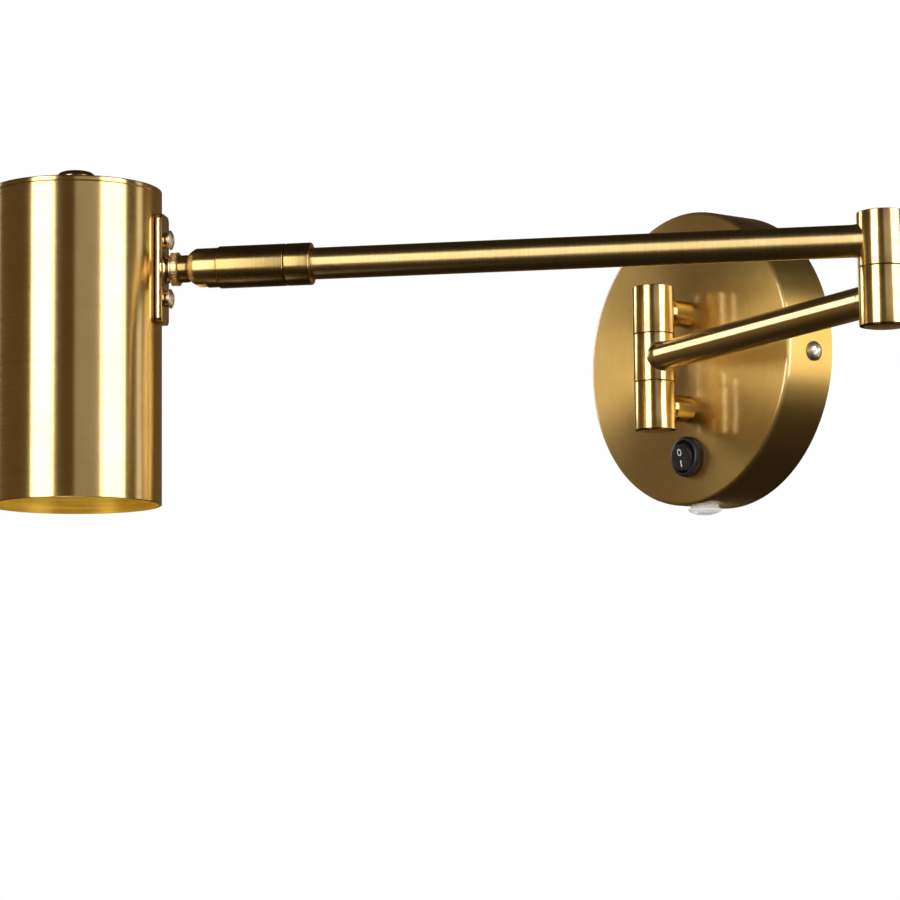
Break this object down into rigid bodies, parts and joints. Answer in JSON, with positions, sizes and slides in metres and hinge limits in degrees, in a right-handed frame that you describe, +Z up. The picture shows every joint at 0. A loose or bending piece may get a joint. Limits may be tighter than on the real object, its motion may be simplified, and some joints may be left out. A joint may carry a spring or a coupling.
{
  "type": "articulating wall lamp",
  "caption": "Wall lamp with a round switched wall plate, two swinging tubular arms joined by an elbow, and a tubular shade on a slotted ball swivel",
  "frame": {"origin": "centre of the wall plate's back, in the plane of the wall", "axes": "+Y into the wall, -Y out of it towards the room, +Z up, +X to the right when facing the lamp"},
  "size_m": [0.2664, 0.3121, 0.1304],
  "materials": {
    "satin_brass": "brushed brass under a thin clear lacquer",
    "zinc_steel": "zinc-plated steel, slightly dull",
    "nickel_screws": "pale nickel plating",
    "brass_contacts": "bare pressed brass",
    "black_plastic": "black moulding with a low sheen",
    "white_plastic": "off-white nylon moulding",
    "bearing_plastic": "dark acetal, smooth",
    "lead_sheath": "flexible PVC sheath",
    "bulb_glass": "opal glass, glossy"
  },
  "bodies": {
    "wall_plate": {"plate_face": "satin_brass", "plate_rim": "satin_brass", "plate_rim_foot": "satin_brass", "stiffener_plate": "zinc_steel", "mounting_bracket": "zinc_steel", "side_screws": "nickel_screws", "earth_screw": "brass_contacts", "terminal_block": "white_plastic", "terminal_screws": "brass_contacts", "plate_leads": "lead_sheath", "standoff_upper": "satin_brass", "standoff_lower": "satin_brass", "standoff_nuts": "zinc_steel", "switch_housing": "black_plastic", "switch_terminals": "brass_contacts", "cord_gland": "white_plastic", "gland_nut": "white_plastic", "wall_knuckle_upper": "satin_brass", "wall_knuckle_lower": "satin_brass", "wall_pivot_tube": "zinc_steel", "wall_pivot_washers": "bearing_plastic", "wall_caps": "satin_brass"},
    "rocker": {"switch_rocker": "black_plastic"},
    "inner_arm": {"inner_arm_knuckle": "satin_brass", "inner_arm_tube": "satin_brass", "inner_arm_lead": "lead_sheath", "elbow_lower_knuckle": "satin_brass", "elbow_pivot_tube": "zinc_steel", "elbow_washer": "bearing_plastic", "elbow_cap_bottom": "satin_brass", "elbow_cap_top": "satin_brass"},
    "outer_arm": {"elbow_upper_knuckle": "satin_brass", "outer_arm_tube": "satin_brass", "outer_arm_lead": "lead_sheath", "swivel_ring": "satin_brass", "arm_end_journal": "zinc_steel", "journal_nut": "zinc_steel"},
    "swivel": {"swivel_sleeve": "satin_brass", "socket_nose": "satin_brass", "ball_seat": "bearing_plastic", "seat_spring_washers": "zinc_steel", "seat_plug": "zinc_steel"},
    "stem": {"swivel_ball": "satin_brass", "swivel_stem": "satin_brass", "lock_nut": "satin_brass"},
    "head": {"bracket_plate": "satin_brass", "bracket_collars": "satin_brass", "bracket_screws": "nickel_screws", "bracket_nuts": "zinc_steel", "shade_tube": "satin_brass", "shade_top_cap": "satin_brass", "top_knob": "satin_brass", "holder_nipple": "zinc_steel", "nipple_nut": "zinc_steel", "lampholder_shell": "black_plastic", "lampholder_insert": "white_plastic", "contact_shell": "brass_contacts", "bulb_base": "brass_contacts", "bulb_globe": "bulb_glass", "head_lead": "lead_sheath"}
  },
  "joints": [
    {"name": "wall_swing", "type": "hinge", "parent": "wall_plate", "child": "inner_arm", "pos_m": [0, -0.042, -0.0015], "axis": [0, 0, 1], "range_deg": [-169.25, 10.75]},
    {"name": "elbow_swing", "type": "hinge", "parent": "inner_arm", "child": "outer_arm", "pos_m": [0.16211, -0.07275, 0.00925], "axis": [0, 0, 1], "range_deg": [-25, 278]},
    {"name": "swivel_spin", "type": "hinge", "parent": "outer_arm", "child": "swivel", "pos_m": [-0.02477, -0.24477, 0.0195], "axis": [-0.7357, -0.6773, 0], "range_deg": [-165, 165]},
    {"name": "head_tilt", "type": "hinge", "parent": "swivel", "child": "stem", "pos_m": [-0.02477, -0.24477, 0.0195], "axis": [0.6773, -0.7357, 0], "range_deg": [0, 70]},
    {"name": "head_spin", "type": "hinge", "parent": "stem", "child": "head", "pos_m": [-0.03437, -0.25361, 0.0195], "axis": [-0.7357, -0.6773, 0], "range_deg": [-90, 90]},
    {"name": "switch_rock", "type": "hinge", "parent": "wall_plate", "child": "rocker", "pos_m": [0, -0.0248, -0.041], "axis": [-1, 0, 0], "range_deg": [0, 24]}
  ]
}
